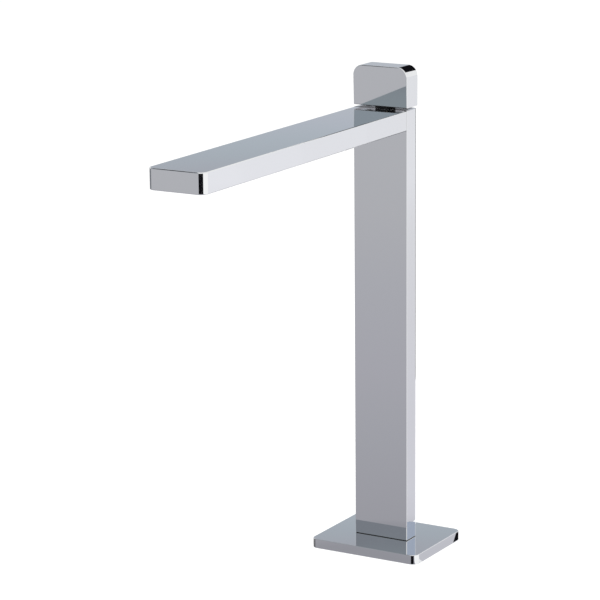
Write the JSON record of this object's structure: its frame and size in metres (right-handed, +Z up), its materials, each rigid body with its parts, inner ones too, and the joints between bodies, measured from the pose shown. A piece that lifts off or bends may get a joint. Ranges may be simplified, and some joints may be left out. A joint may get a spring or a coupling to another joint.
{
  "type": "basin tap",
  "caption": "Tall slim chrome basin tap: flat rectangular column on a plate, long flat spout flush with its top, and a slab knob that turns a ceramic disc valve.",
  "frame": {"origin": "centre of the base plate's underside, on the deck plane and on the column's axis", "axes": "+Z up along the column, -Y along the spout towards its outlet, +X to the right of someone who faces the tap from the outlet's side"},
  "size_m": [0.0774, 0.2761, 0.3901],
  "materials": {
    "chrome_plate": "polished",
    "bare_brass": "satin",
    "stainless_steel": "satin",
    "black_rubber": "matte",
    "valve_ceramic": "satin",
    "riser_copper": "satin",
    "black_acetal": "satin",
    "white_acetal": "satin"
  },
  "bodies": {
    "tap_body": {"base_plate": "chrome_plate", "column_body": "chrome_plate", "spout_shell": "chrome_plate", "aerator_housing": "chrome_plate", "threaded_shank": "bare_brass", "back_nut": "bare_brass", "inlet_tail": "bare_brass", "foot_block": "bare_brass", "headwork_body": "bare_brass", "spout_end_block": "bare_brass", "outlet_ring": "bare_brass", "clamp_washer": "stainless_steel", "foot_screws": "stainless_steel", "spout_dowels": "stainless_steel", "spout_lock_screws": "stainless_steel", "aerator_screen": "stainless_steel", "deck_washer": "black_rubber", "base_gasket": "black_rubber", "column_gasket": "black_rubber", "spout_gasket": "black_rubber", "inlet_seal": "black_rubber", "headwork_seal": "black_rubber", "seat_seal": "black_rubber", "spout_face_seal": "black_rubber", "aerator_gasket": "black_rubber", "fixed_disc": "valve_ceramic", "riser_tube": "riser_copper", "glide_ring": "black_acetal", "aerator_insert": "white_acetal"},
    "knob_set": {"knob": "chrome_plate", "knob_grub_screw": "stainless_steel", "knob_plug": "chrome_plate", "spindle": "bare_brass", "spindle_seals": "black_rubber", "spindle_clip": "stainless_steel", "moving_disc": "valve_ceramic"}
  },
  "joints": [
    {"name": "knob_turn", "type": "hinge", "parent": "tap_body", "child": "knob_set", "pos_m": [0, 0, 0.288], "axis": [0, 0, 1], "range_deg": [0, 90]}
  ]
}
